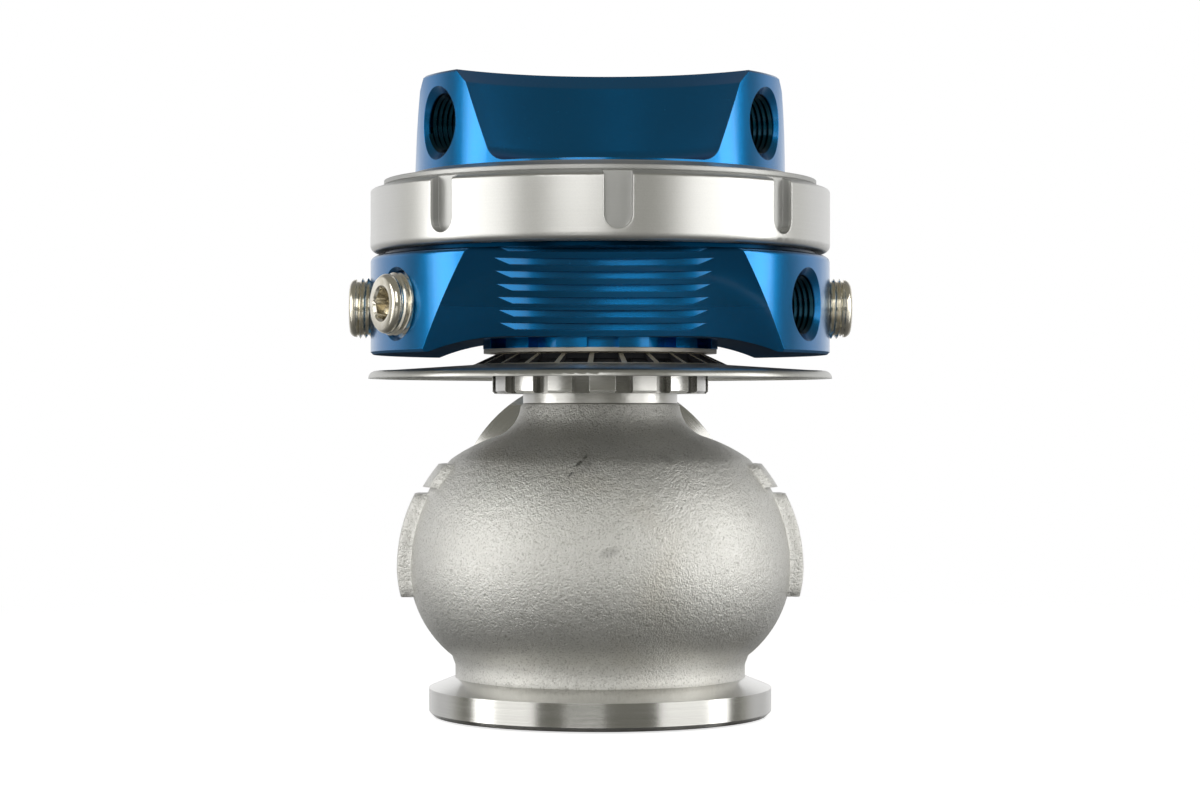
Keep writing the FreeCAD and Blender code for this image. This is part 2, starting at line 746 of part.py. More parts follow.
def clamp_ring():
    """Ring nut on the piston's cup that clamps the diaphragm against the flange."""
    top = PISTON_FLANGE_Z - DIAPHRAGM_SHEET
    ring = turned(
        [
            (PISTON_CUP_R, CLAMP_RING_BOTTOM_Z),
            (CLAMP_RING_R - 0.8, CLAMP_RING_BOTTOM_Z),
            (CLAMP_RING_R, CLAMP_RING_BOTTOM_Z + 0.8),
            (CLAMP_RING_R, top),
            (PISTON_CUP_R, top),
        ]
    )
    slot = box(-1.0, 1.0, -CLAMP_RING_R - 1, -17.6, CLAMP_RING_BOTTOM_Z - 1, 77.4)
    return ring.cut(repeated(slot, 4))


def diaphragm():
    """Rolling diaphragm: inner flat, sloping wall with a rolled top, and outer flat rim."""
    t = DIAPHRAGM_SHEET
    inner_z = PISTON_FLANGE_Z - t
    rim_r = BODY_NECK_R - 0.6
    return turned(
        [
            (PISTON_CUP_R, inner_z),
            (22.0, inner_z),
            (23.2, inner_z + 1.2),
            (25.6, 84.6),
            Via(26.8, 86.0),
            (28.2, DIAPHRAGM_RIM_Z + 0.2),
            (CHAMBER_R, DIAPHRAGM_RIM_Z),
            (rim_r, DIAPHRAGM_RIM_Z),
            (rim_r, CAP_FLANGE_BOTTOM_Z),
            (28.6, CAP_FLANGE_BOTTOM_Z),
            Via(26.2, 87.0),
            (24.6, 84.9),
            (22.2, inner_z + 1.7),
            (21.5, inner_z + t),
            (PISTON_CUP_R, inner_z + t),
        ]
    )


def stem_washer():
    """Washer under the stem nut."""
    top = PISTON_SEAT_Z + 0.9
    return turned([(3.05, PISTON_SEAT_Z), (6.0, PISTON_SEAT_Z), (6.0, top), (3.05, top)])


def stem_nut():
    """Hexagon nut on the stem's thread."""
    base = PISTON_SEAT_Z + 0.9
    across_flats, height = 10.0, 4.6
    corner_r = across_flats / math.sqrt(3)
    corners = [
        Vector(
            corner_r * math.cos(math.radians(60 * k)),
            corner_r * math.sin(math.radians(60 * k)),
            base,
        )
        for k in range(7)
    ]
    prism = Part.Face(Part.makePolygon(corners)).extrude(Vector(0, 0, height))
    rounding = turned(
        [
            (STEM_THREAD_R, base),
            (corner_r + 1, base),
            (corner_r + 1, base + height - 1.2),
            (across_flats / 2 - 0.2, base + height),
            (STEM_THREAD_R, base + height),
        ]
    )
    return prism.common(rounding)


def coil_spring(mean_r, wire_r, turns, top_z):
    """Compression spring with ground ends. Each half turn is an arc in a plane tilted by the pitch."""
    length = top_z - PISTON_SEAT_Z
    rise = length / (2 * turns)
    arcs = []
    for half in range(2 * turns):
        side = 1 if half % 2 == 0 else -1
        z = PISTON_SEAT_Z + half * rise
        start = Vector(side * mean_r, 0, z)
        middle = Vector(0, side * math.hypot(mean_r, rise / 2), z + rise / 2)
        end = Vector(-side * mean_r, 0, z + rise)
        arcs.append(Part.Arc(start, middle, end).toShape())
    section = Part.makeCircle(wire_r, Vector(mean_r, 0, PISTON_SEAT_Z), Vector(0, 1, 0))
    wire = Part.Wire(arcs).makePipeShell([Part.Wire(section)], True, True)
    between = Part.makeCylinder(mean_r + 2 * wire_r, length, Vector(0, 0, PISTON_SEAT_Z))
    return wire.common(between)


def outer_spring():
    """Outer closing spring."""
    return coil_spring(top_z=OUTER_SPRING_TOP_Z, **OUTER_SPRING)


def inner_spring():
    """Inner closing spring."""
    return coil_spring(top_z=INNER_SPRING_TOP_Z, **INNER_SPRING)


PIECES = (
    valve_body,
    valve_seat,
    valve_guide,
    lock_nut,
    retaining_ring,
    neck_gasket,
    heat_shield,
    shield_washer,
    actuator_body,
    stem_seal,
    seal_clip,
    blanking_plugs,
    locking_collar,
    top_cap,
    poppet_valve,
    piston,
    clamp_ring,
    diaphragm,
    stem_washer,
    stem_nut,
    outer_spring,
    inner_spring,
)


def main():
    os.makedirs("parts", exist_ok=True)
    for make in PIECES:
        shape = make()
        solids = len(shape.Solids)
        print(f"{make.__name__}: {solids} solid(s), {shape.Volume:.1f} mm3, valid {shape.isValid()}")
        shape.exportStep(f"parts/{make.__name__}.step")


main()
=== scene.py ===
import json
import math

import bmesh
import bpy
from mathutils import Matrix, Vector


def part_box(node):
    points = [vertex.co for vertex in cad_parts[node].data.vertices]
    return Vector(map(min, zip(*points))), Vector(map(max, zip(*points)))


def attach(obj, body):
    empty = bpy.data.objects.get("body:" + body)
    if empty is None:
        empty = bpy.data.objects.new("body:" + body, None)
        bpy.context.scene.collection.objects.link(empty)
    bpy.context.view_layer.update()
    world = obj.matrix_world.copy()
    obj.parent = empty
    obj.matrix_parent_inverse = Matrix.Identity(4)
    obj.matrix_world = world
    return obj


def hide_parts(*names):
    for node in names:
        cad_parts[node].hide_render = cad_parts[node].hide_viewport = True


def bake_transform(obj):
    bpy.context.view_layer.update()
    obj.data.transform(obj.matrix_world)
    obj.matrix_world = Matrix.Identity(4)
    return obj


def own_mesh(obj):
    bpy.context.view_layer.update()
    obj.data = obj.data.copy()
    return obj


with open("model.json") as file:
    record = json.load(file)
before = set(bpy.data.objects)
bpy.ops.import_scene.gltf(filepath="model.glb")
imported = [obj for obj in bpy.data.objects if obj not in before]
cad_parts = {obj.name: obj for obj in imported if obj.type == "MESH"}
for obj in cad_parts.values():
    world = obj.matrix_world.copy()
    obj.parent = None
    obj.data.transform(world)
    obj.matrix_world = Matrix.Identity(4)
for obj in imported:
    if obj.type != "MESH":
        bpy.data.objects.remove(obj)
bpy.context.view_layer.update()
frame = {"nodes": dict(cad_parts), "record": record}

NODES = frame["nodes"]
MM = 0.001
UP = Vector((0, 0, 1))


# ---- Sizes read from the frame -----------------------------------------------------------------
def mount(name):
    """Position and axis of a mount, and its sizes in mm."""
    found = next(m for m in frame["record"]["mounts"] if m["name"] == name)
    return Vector(found["pos_m"]), Vector(found["axis"]).normalized(), found["dims"]


def low(node):
    """Lowest corner of a CAD node's box."""
    return Vector(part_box(node)[0])


def high(node):
    """Highest corner of a CAD node's box."""
    return Vector(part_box(node)[1])


INLET_FLANGE_HEIGHT = 6.4 * MM
OUTLET_RIM_LENGTH = 7.0 * MM
FLUTE_DEPTH = 1.7 * MM
SHADE_DROP = 2.2 * MM          # from the top of the heat shield down to the lowest painted shade on the nut

FLANGE_TOP = low("valve_body").z + INLET_FLANGE_HEIGHT
NECK_FOOT = 52.5 * MM
OUTLET_RIM_Y = high("valve_body").y - OUTLET_RIM_LENGTH
OUTLET_Z = mount("outlet_face")[0].z
COLLAR_R = high("locking_collar").x
FLUTE_R = high("lock_nut").x - FLUTE_DEPTH
SHADE_Z = high("heat_shield").z - SHADE_DROP
SEAM_Z = low("locking_collar").z
PORTS = ("cap_port_right", "cap_port_left", "cap_port_rear", "actuator_port_right")


# ---- Material recipes --------------------------------------------------------------------------
class Graph:
    """A node tree under construction, with a short call for each node that it uses."""

    def __init__(self, tree, coordinates):
        self.tree = tree
        tree.nodes.clear()
        self.place = self.node("ShaderNodeTexCoord").outputs[coordinates]

    def node(self, kind, **settings):
        made = self.tree.nodes.new(kind)
        for key, value in settings.items():
            setattr(made, key, value)
        return made

    def put(self, socket, value):
        """Links a socket to another node's output, or sets its plain number or colour."""
        if isinstance(value, bpy.types.NodeSocket):
            self.tree.links.new(value, socket)
        else:
            socket.default_value = (*value, 1.0) if isinstance(value, tuple) else value

    def made_with(self, kind, **values):
        """A node with its sockets filled by name; an underscore stands for a space."""
        made = self.node(kind)
        for key, value in values.items():
            self.put(made.inputs[key.replace("_", " ")], value)
        return made

    def filled(self, made, *values):
        """Fills a node's first sockets in their order and returns its first output."""
        for socket, value in zip(made.inputs, values):
            self.put(socket, value)
        return made.outputs[0]

    def maths(self, operation, *values):
        return self.filled(self.node("ShaderNodeMath", operation=operation), *values)

    def plus(self, first, second):
        return self.maths("ADD", first, second)

    def minus(self, first, second):
        return self.maths("SUBTRACT", first, second)

    def times(self, first, second):
        return self.maths("MULTIPLY", first, second)

    def most(self, first, second):
        return self.maths("MAXIMUM", first, second)

    def below(self, first, second):
        return self.maths("LESS_THAN", first, second)

    def above(self, first, second):
        return self.maths("GREATER_THAN", first, second)

    def length(self, first, second):
        return self.maths("SQRT", self.plus(self.times(first, first), self.times(second, second)))

    def split(self, vector=None):
        return self.made_with("ShaderNodeSeparateXYZ", Vector=vector or self.place).outputs

    def join(self, x, y, z):
        return self.filled(self.node("ShaderNodeCombineXYZ"), x, y, z)

    def ramp(self, factor, low_at, high_at, low_value=0.0, high_value=1.0):
        """Soft step from one value to another between two places."""
        made = self.node("ShaderNodeMapRange", clamp=True, interpolation_type="SMOOTHSTEP")
        return self.filled(made, factor, low_at, high_at, low_value, high_value)

    def blend(self, factor, first, second):
        """Mixes two colours."""
        made = self.node("ShaderNodeMix", data_type="RGBA")
        self.put(made.inputs["Factor"], factor)
        self.put(made.inputs[6], first)
        self.put(made.inputs[7], second)
        return made.outputs[2]

    def number(self, factor, first, second):
        """Mixes two plain numbers."""
        made = self.node("ShaderNodeMix", data_type="FLOAT")
        self.put(made.inputs["Factor"], factor)
        self.put(made.inputs[2], first)
        self.put(made.inputs[3], second)
        return made.outputs[0]

    def shader(self, kind, **values):
        return self.made_with(kind, **values).outputs[0]

    def mixed(self, factor, first, second):
        """Mixes two shaders."""
        return self.filled(self.node("ShaderNodeMixShader"), factor, first, second)


EDGE = 0.05 * MM              # half the width of the step between two finishes
TURNED_STREAK = 180.0 / 220.0  # stretches the noise along the direction of turning


class Recipe(Graph):
    """A material under construction, on the piece's own coordinates."""

    def __init__(self, name):
        self.material = bpy.data.materials.new(name)
        self.material.use_nodes = True
        super().__init__(self.material.node_tree, "Object")

    def noise(self, scale, detail=2.0, roughness=0.5, vector=None, distortion=0.0):
        made = self.made_with("ShaderNodeTexNoise", Vector=vector or self.place, Scale=scale,
                              Detail=detail, Roughness=roughness, Distortion=distortion)
        return made.outputs["Fac"]

    def cells(self, scale):
        made = self.made_with("ShaderNodeTexVoronoi", Vector=self.place, Scale=scale)
        return made.outputs["Distance"]

    def bump(self, height, distance, strength, normal=None):
        made = self.made_with("ShaderNodeBump", Distance=distance, Strength=strength,
                              Height=height)
        if normal is not None:
            self.put(made.inputs["Normal"], normal)
        return made.outputs["Normal"]

    def soft_edge(self, radius):
        """Normal that rounds sharp edges a little, as a deburring pass or a mould leaves them."""
        made = self.node("ShaderNodeBevel", samples=6)
        return self.filled(made, radius)

    def up_facing(self):
        """Height of the surface normal: 1 on a face that looks up, -1 on one that looks down."""
        return self.split(self.node("ShaderNodeNewGeometry").outputs["Normal"])[2]

    def from_axis(self):
        """Distance from the valve axis."""
        parts = self.split()
        return self.length(parts[0], parts[1])

    def inside_port(self, name):
        """1 on the wall and floor of a threaded port, 0 on its countersink and outside."""
        place, way, dims = mount(name)
        parts = self.split()
        deep = self.plus(self.times(parts[0], way.x), self.times(parts[1], way.y))
        aside = self.minus(self.times(parts[1], way.x), self.times(parts[0], way.y))
        radius = dims["r_mm"] * MM
        mouth = place.dot(way) + dims["length_mm"] * MM / 2
        round_axis = self.length(aside, self.minus(parts[2], place.z))
        bore = self.ramp(round_axis, radius + 0.25 * MM, radius + 0.05 * MM)
        sunk = self.ramp(deep, mouth + 0.3 * MM, mouth)
        this_side = self.above(deep, 0.5 * mouth)
        return self.times(bore, self.times(sunk, this_side))

    def turning(self, pitch, round_outlet=False):
        """Fine lines left by turning, round the valve axis or round the outlet's axis."""
        x, y, z = self.split()
        side, rise = (self.minus(z, OUTLET_Z), y) if round_outlet else (y, z)
        lanes = self.join(self.times(self.length(x, side), 1.0 / pitch),
                          self.times(self.maths("ARCTAN2", side, x), TURNED_STREAK),
                          self.times(rise, 1.0 / pitch))
        return self.noise(1.0, 3.0, 0.6, lanes)

    def finish(self, base, roughness, normal, metallic=1.0, **more):
        """Ends the recipe in one Principled surface."""
        surface = self.shader("ShaderNodeBsdfPrincipled", Base_Color=base, Roughness=roughness,
                              Metallic=metallic, Normal=normal, **more)
        self.made_with("ShaderNodeOutputMaterial", Surface=surface)
        return self.material


def shade(colour, share):
    """A colour brought down or up by a share of itself."""
    return tuple(share * c for c in colour)


STAINS = (
    # x, z, half length and half width in mm, slant in degrees, darkness
    (-4.0, 42.9, 1.1, 0.45, 40.0, 0.75),
    (-2.9, 43.9, 0.9, 0.40, 50.0, 0.60),
    (-5.3, 41.2, 0.9, 0.35, 45.0, 0.70),
    (-3.2, 42.6, 2.4, 1.6, 40.0, 0.18),
    (0.8, 28.9, 2.6, 1.3, 15.0, 0.28),
    (10.5, 43.5, 2.8, 0.9, -20.0, 0.22),
)
STAIN_COLOUR = (0.13, 0.13, 0.12)
CAST_LINE_PITCH = 0.16 * MM


def stain(r, grain, x, z, long, wide, slant):
    """Dark mark on the front of the bulb: 1 inside a slanted oval, ragged at its rim."""
    parts = r.split()
    across, rise = r.minus(parts[0], x * MM), r.minus(parts[2], z * MM)
    c, s = math.cos(math.radians(slant)), math.sin(math.radians(slant))
    ahead = r.plus(r.times(across, c / (long * MM)), r.times(rise, s / (long * MM)))
    beside = r.minus(r.times(rise, c / (wide * MM)), r.times(across, s / (wide * MM)))
    ragged = r.plus(r.length(ahead, beside), r.times(grain, 0.7))
    return r.times(r.ramp(ragged, 1.25, 0.55), r.below(parts[1], 0.0))


def cast_colour(r, grain, pits):
    """Pale cast steel with warm clouds, specks, dark grain and stains."""
    cloud = r.ramp(r.noise(70.0, 3.0, 0.55), 0.30, 0.72)
    colour = r.blend(cloud, (0.75, 0.745, 0.72), (0.84, 0.835, 0.81))
    warm = r.ramp(r.noise(42.0, distortion=0.4), 0.55, 0.80)
    colour = r.blend(r.times(warm, 0.5), colour, (0.70, 0.66, 0.58))
    specks = r.times(r.ramp(r.cells(330.0), 0.20, 0.05), r.ramp(r.noise(150.0, 1.0), 0.58, 0.66))
    colour = r.blend(r.times(specks, 0.45), colour, (0.22, 0.21, 0.19))
    colour = r.blend(r.ramp(grain, 0.50, 0.30, 0.0, 0.50), colour, (0.26, 0.25, 0.22))
    for *shape, dark in STAINS:
        colour = r.blend(r.times(stain(r, grain, *shape), dark), colour, STAIN_COLOUR)
    return r.blend(r.times(pits, 0.6), colour, (0.16, 0.15, 0.14))


def cast_stainless():
    """Investment-cast stainless: grainy skin, stains and pits, with turned flanges and neck."""
    r = Recipe("cast_stainless")
    parts = r.split()
    flange = r.ramp(parts[2], FLANGE_TOP + EDGE, FLANGE_TOP - EDGE)
    neck = r.ramp(parts[2], NECK_FOOT - EDGE, NECK_FOOT + EDGE)
    outlet = r.ramp(parts[1], OUTLET_RIM_Y - EDGE, OUTLET_RIM_Y + EDGE)
    turned = r.most(r.most(flange, neck), outlet)

    grain = r.noise(3200.0, 3.0, 0.6)
    lumps = r.noise(900.0)
    pits = r.times(r.ramp(r.cells(1500.0), 0.18, 0.02), r.ramp(r.noise(420.0), 0.60, 0.68))
    skin = r.minus(r.plus(r.times(grain, 0.75), r.times(lumps, 0.6)), pits)

    lines = r.number(outlet, r.turning(CAST_LINE_PITCH), r.turning(CAST_LINE_PITCH, True))
    bright = r.blend(lines, (0.60, 0.595, 0.575), (0.74, 0.735, 0.715))
    colour = r.blend(turned, cast_colour(r, grain, pits), bright)
    rough = r.number(turned, r.number(grain, 0.40, 0.54), r.number(lines, 0.10, 0.24))
    rough = r.plus(rough, r.times(neck, 0.14))
    moulded = r.soft_edge(r.number(turned, 2.6 * MM, 0.08 * MM))
    cast = r.bump(skin, 0.20 * MM, r.number(turned, 1.0, 0.0), moulded)
    handled = r.bump(r.noise(420.0, 2.0, 0.6), 0.10 * MM, r.times(neck, 0.8), cast)
    normal = r.bump(lines, 0.012 * MM, r.number(turned, 0.0, 0.5), handled)
    return r.finish(colour, rough, normal)


def turned_metal(name, base, roughness, pitch=0.14 * MM, shaded_top=False):
    """Turned or ground metal with fine rings round the valve axis; it may get painted shade: dark on
    its top and darker in its flutes.
    """
    r = Recipe(name)
    lines = r.turning(pitch)
    smudge = r.ramp(r.noise(160.0), 0.35, 0.75)
    colour = r.blend(lines, shade(base, 0.86), base)
    colour = r.blend(r.times(smudge, 0.18), colour, shade(base, 0.7))
    rough = r.plus(r.number(lines, roughness, roughness * 1.8), r.times(smudge, 0.06))
    normal = r.bump(lines, 0.012 * MM, 0.5, r.soft_edge(0.12 * MM))
    if not shaded_top:
        return r.finish(colour, rough, normal)
    # Painted shade: top faces, and all above a height under the heat shield, are painted near black
    # and matt.
    top_shade = r.most(r.ramp(r.up_facing(), 0.30, 0.55), r.above(r.split()[2], SHADE_Z))
    # Painted shade: the flutes are painted darker.
    flutes = r.ramp(r.from_axis(), FLUTE_R + 0.6 * MM, FLUTE_R + 0.3 * MM)
    colour = r.blend(r.times(flutes, 0.7), colour, (0.24, 0.235, 0.22))
    colour = r.blend(top_shade, colour, r.blend(smudge, (0.02, 0.022, 0.026), (0.045, 0.045, 0.045)))
    return r.finish(colour, r.number(top_shade, rough, 0.9), normal, r.number(top_shade, 1.0, 0.0))


VENT_TOP_R = 17.5 * MM        # the cone of the heat shield lies between about these radii
VENT_FOOT_R = 22.0 * MM


def shield_steel():
    """Rolled stainless sheet, satin; its windowed cone has bars painted bright as highlight and an
    inner side painted near black as shade.
    """
    r = Recipe("shield_steel")
    parts = r.split()
    radius = r.from_axis()
    rolled = r.noise(1.0, 3.0, 0.55, r.join(r.times(parts[0], 900.0), r.times(parts[1], 6000.0),
                                            0.0))
    spots = r.times(r.ramp(r.cells(900.0), 0.16, 0.03), r.ramp(r.noise(300.0, 1.0), 0.60, 0.70))
    colour = r.blend(rolled, (0.50, 0.50, 0.48), (0.62, 0.62, 0.595))
    colour = r.blend(r.ramp(radius, 30 * MM, 20 * MM, 0.0, 0.25), colour, (0.45, 0.40, 0.31))
    colour = r.blend(r.times(spots, 0.5), colour, (0.2, 0.2, 0.19))
    vented = r.ramp(radius, VENT_FOOT_R + 0.6 * MM, VENT_FOOT_R)
    inner = r.times(vented, r.ramp(r.up_facing(), 0.80, 0.60))
    # Painted highlight: the bars between the windows are painted bright, in a tan tint, and made
    # rougher.
    bars = r.times(r.times(vented, r.minus(1.0, inner)),
                   r.ramp(radius, VENT_TOP_R - 0.1 * MM, VENT_TOP_R + 0.1 * MM))
    colour = r.blend(bars, colour, (0.88, 0.84, 0.74))
    # Painted shade: the inner side of the windowed cone is painted near black and matt.
    colour = r.blend(inner, colour, r.blend(rolled, (0.014, 0.016, 0.022), (0.03, 0.03, 0.032)))
    rough = r.number(bars, r.number(rolled, 0.26, 0.38), 0.62)
    rough = r.number(inner, rough, 0.95)
    normal = r.bump(rolled, 0.01 * MM, 0.5, r.soft_edge(0.15 * MM))
    return r.finish(colour, rough, normal, r.number(inner, 1.0, 0.0))


BLUE_DYE = (0.0, 0.158, 0.41)


def blue_anodised():
    """Blue anodised aluminium: dyed and clear-coated; painted shade in the ports, under the collar
    at the seam and on the recess underneath.
    """
    r = Recipe("blue_anodised")
    grain = r.noise(5200.0)
    colour = r.blend(r.ramp(r.noise(60.0), 0.3, 0.7), BLUE_DYE, shade(BLUE_DYE, 1.10))
    dust = r.times(r.ramp(r.cells(700.0), 0.10, 0.02), r.ramp(r.noise(200.0, 1.0), 0.64, 0.70))
    colour = r.blend(r.times(dust, 0.5), colour, (0.25, 0.32, 0.38))
    height = r.split()[2]
    # Painted shade: a band under the collar at the seam and the walls of the threaded ports are
    # painted near black, without the coat.
    dark = r.times(r.ramp(height, SEAM_Z - 1.5 * MM, SEAM_Z - 0.5 * MM),
                   r.below(height, SEAM_Z + 7 * MM))
    # Painted shade: the down-facing recess underneath is painted darker, matt and without the coat.
    recess_shade = r.times(r.ramp(r.up_facing(), -0.4, -0.8), r.below(height, SEAM_Z - 10 * MM))
    for name in PORTS:
        dark = r.most(dark, r.inside_port(name))
    colour = r.blend(recess_shade, colour, shade(BLUE_DYE, 0.45))
    colour = r.blend(dark, colour, shade(BLUE_DYE, 0.10))
    rough = r.number(recess_shade, r.number(grain, 0.20, 0.30), 0.85)
    normal = r.bump(grain, 0.010 * MM, 0.45, r.soft_edge(0.14 * MM))
    clear = r.number(r.most(dark, recess_shade), 0.35, 0.0)
    return r.finish(colour, rough, normal, r.number(recess_shade, 1.0, 0.0), Coat_Weight=clear,
                    Coat_Roughness=0.10, Coat_IOR=1.7)


def port_blue():
    """The same anodising on the thread ridges, made darker because the ports are in shade."""
    r = Recipe("port_blue")
    film = r.noise(900.0)
    colour = r.blend(film, (0.0, 0.012, 0.035), (0.0, 0.045, 0.065))
    return r.finish(colour, r.number(film, 0.14, 0.26), r.bump(film, 0.01 * MM, 0.4),
                    Coat_Weight=0.2, Coat_Roughness=0.08)


def silver_anodised():
    """Clear anodised aluminium: satin, with a blasted grain and faint turning; its top faces painted
    darker as shade, its notches darker.
    """
    r = Recipe("silver_anodised")
    grain = r.noise(4200.0, 2.0, 0.55)
    both = r.plus(r.times(grain, 0.7), r.times(r.turning(0.22 * MM), 0.5))
    colour = r.blend(both, (0.66, 0.658, 0.645), (0.78, 0.778, 0.765))
    land = r.ramp(r.up_facing(), 0.75, 0.95)
    notch = r.times(r.ramp(r.from_axis(), COLLAR_R - 0.5 * MM, COLLAR_R - 0.7 * MM),
                    r.below(r.up_facing(), 0.5))
    # Painted shade: top faces are painted darker; the notches are darker too.
    colour = r.blend(r.times(r.most(land, notch), 0.6), colour, (0.42, 0.425, 0.42))
    milled = r.most(r.times(land, 0.5), notch)
    rough = r.plus(r.number(grain, 0.28, 0.40), r.times(milled, 0.14))
    normal = r.bump(both, 0.012 * MM, r.number(notch, 0.55, 1.0), r.soft_edge(0.34 * MM))
    return r.finish(colour, rough, normal)


def nickel_plate():
    """Nickel plate with a warm tone and darker blots."""
    r = Recipe("nickel_plate")
    blot = r.ramp(r.noise(500.0, 3.0), 0.35, 0.70)
    colour = r.blend(blot, (0.92, 0.88, 0.78), (0.82, 0.77, 0.65))
    normal = r.bump(r.noise(2600.0), 0.010 * MM, 0.35, r.soft_edge(0.12 * MM))
    return r.finish(colour, r.number(blot, 0.12, 0.26), normal)


def plain_finish(name, grain, dark, light, rough, bump, metallic):
    """Hidden material of one grain: its two colours, its two roughnesses, its bump."""
    r = Recipe(name)
    grain = r.noise(*grain)
    return r.finish(r.blend(grain, dark, light), r.number(grain, *rough), r.bump(grain, *bump),
                    metallic)


MATERIALS = {
    "cast_steel": cast_stainless(),
    "machined_steel": turned_metal("machined_steel", (0.74, 0.735, 0.715), 0.11),
    "washer_steel": turned_metal("washer_steel", (0.52, 0.50, 0.455), 0.30),
    "shaded_nut": turned_metal("shaded_nut", (0.76, 0.755, 0.735), 0.13, shaded_top=True),
    "shield_steel": shield_steel(),
    "blue_anodised": blue_anodised(),
    "port_blue": port_blue(),
    "silver_anodised": silver_anodised(),
    "plug_nickel": nickel_plate(),
    "spring_steel": plain_finish("spring_wire", (1400.0, 3.0, 0.6), (0.22, 0.22, 0.23),
                                 (0.36, 0.36, 0.37), (0.30, 0.45), (0.01 * MM, 0.5), 1.0),
    "bronze": turned_metal("bronze", (0.62, 0.43, 0.24), 0.22),
    "plain_aluminium": turned_metal("plain_aluminium", (0.78, 0.785, 0.79), 0.24, 0.2 * MM),
    "rubber": plain_finish("rubber", (3000.0,), (0.02, 0.02, 0.021), (0.045, 0.045, 0.047),
                           (0.55, 0.75), (0.02 * MM, 0.6), 0.0),
    "seal_plastic": plain_finish("seal_plastic", (2400.0,), (0.05, 0.047, 0.043),
                                 (0.10, 0.094, 0.086), (0.4, 0.55), (0.01 * MM, 0.4), 0.0),
}
OWN_FINISH = {"lock_nut": "shaded_nut", "shield_washer": "washer_steel"}


def dress_nodes():
    """Gives every CAD node the material of its slot, or its own finish."""
    slots = {s["node"]: s["material_slot"] for s in frame["record"]["subparts"]}
    for name, node in NODES.items():
        node.data.materials.clear()
        node.data.materials.append(MATERIALS[OWN_FINISH.get(name, slots[name])])


# ---- Geometry Nodes: helical thread ridges and springs -----------------------------------------
STEPS_PER_TURN = 48


def helix_tree(name, section_corners):
    """Tree that sweeps a round or four-cornered section along a helix about Z, from z = 0 up."""
    tree = bpy.data.node_groups.new(name, "GeometryNodeTree")
    face = tree.interface
    face.new_socket("Geometry", in_out="OUTPUT", socket_type="NodeSocketGeometry")
    for label in ("Radius", "Pitch", "Turns", "Half Height", "Half Width"):
        face.new_socket(label, in_out="INPUT", socket_type="NodeSocketFloat")
    face.new_socket("Material", in_out="INPUT", socket_type="NodeSocketMaterial")
    nodes, links = tree.nodes, tree.links
    inputs = nodes.new("NodeGroupInput").outputs
    rise = nodes.new("ShaderNodeMath")
    rise.operation = "MULTIPLY"
    links.new(inputs["Pitch"], rise.inputs[0])
    links.new(inputs["Turns"], rise.inputs[1])
    spiral = nodes.new("GeometryNodeCurveSpiral")
    spiral.inputs["Resolution"].default_value = STEPS_PER_TURN
    links.new(inputs["Turns"], spiral.inputs["Rotations"])
    links.new(inputs["Radius"], spiral.inputs["Start Radius"])
    links.new(inputs["Radius"], spiral.inputs["End Radius"])
    links.new(rise.outputs[0], spiral.inputs["Height"])
    upright = nodes.new("GeometryNodeSetCurveNormal")
    upright.mode = "Z_UP"
    links.new(spiral.outputs[0], upright.inputs[0])
    section = nodes.new("GeometryNodeCurvePrimitiveCircle")
    section.inputs["Resolution"].default_value = section_corners
    section.inputs["Radius"].default_value = 1.0
    size = nodes.new("ShaderNodeCombineXYZ")
    links.new(inputs["Half Height"], size.inputs[0])
    links.new(inputs["Half Width"], size.inputs[1])
    size.inputs[2].default_value = 1.0
    shaped = nodes.new("GeometryNodeTransform")
    links.new(section.outputs[0], shaped.inputs["Geometry"])
    links.new(size.outputs[0], shaped.inputs["Scale"])
    sweep = nodes.new("GeometryNodeCurveToMesh")
    sweep.inputs["Fill Caps"].default_value = True
    links.new(upright.outputs[0], sweep.inputs["Curve"])
    links.new(shaped.outputs[0], sweep.inputs["Profile Curve"])
    real = nodes.new("GeometryNodeRealizeInstances")
    links.new(sweep.outputs[0], real.inputs[0])
    paint = nodes.new("GeometryNodeSetMaterial")
    links.new(real.outputs[0], paint.inputs["Geometry"])
    links.new(inputs["Material"], paint.inputs["Material"])
    out = nodes.new("NodeGroupOutput")
    links.new(paint.outputs[0], out.inputs[0])
    return tree


THREAD_TREE = helix_tree("thread_ridge", 4)
COIL_TREE = helix_tree("spring_coil", 16)


def grown(tree, material, **sizes):
    """Runs a tree with these sizes and returns the plain mesh."""
    holder = bpy.data.objects.new("holder", bpy.data.meshes.new("holder"))
    bpy.context.scene.collection.objects.link(holder)
    modifier = holder.modifiers.new("helix", "NODES")
    modifier.node_group = tree
    sockets = {i.name: i.identifier for i in tree.interface.items_tree if i.in_out == "INPUT"}
    for label, value in sizes.items():
        modifier[sockets[label.replace("_", " ")]] = float(value)
    modifier[sockets["Material"]] = material
    bpy.context.view_layer.update()
    graph = bpy.context.evaluated_depsgraph_get()
    mesh = bpy.data.meshes.new_from_object(holder.evaluated_get(graph))
    holder.modifiers.remove(modifier)
    bpy.data.objects.remove(holder)
    return mesh


# ---- Mesh helpers ------------------------------------------------------------------------------
def along(point, direction):
    """Matrix that sets a shape built up +Z from the origin at a point, pointing a given way."""
    z = direction.normalized()
    x = UP.cross(z).normalized()
    y = z.cross(x)
    return Matrix.Translation(point) @ Matrix((x, y, z)).transposed().to_4x4()


def add_ring(bm, radii, z, matrix):
    """Adds a closed ring of points about the matrix's Z, one for each radius."""
    ring = []
    for i, r in enumerate(radii):
        a = 2 * math.pi * i / len(radii)
        ring.append(bm.verts.new(matrix @ Vector((r * math.cos(a), r * math.sin(a), z))))
    return ring


def bridge(bm, inner, outer):
    """Adds the band of faces between two rings."""
    for i in range(len(inner)):
        j = (i + 1) % len(inner)
        bm.faces.new((inner[i], inner[j], outer[j], outer[i]))


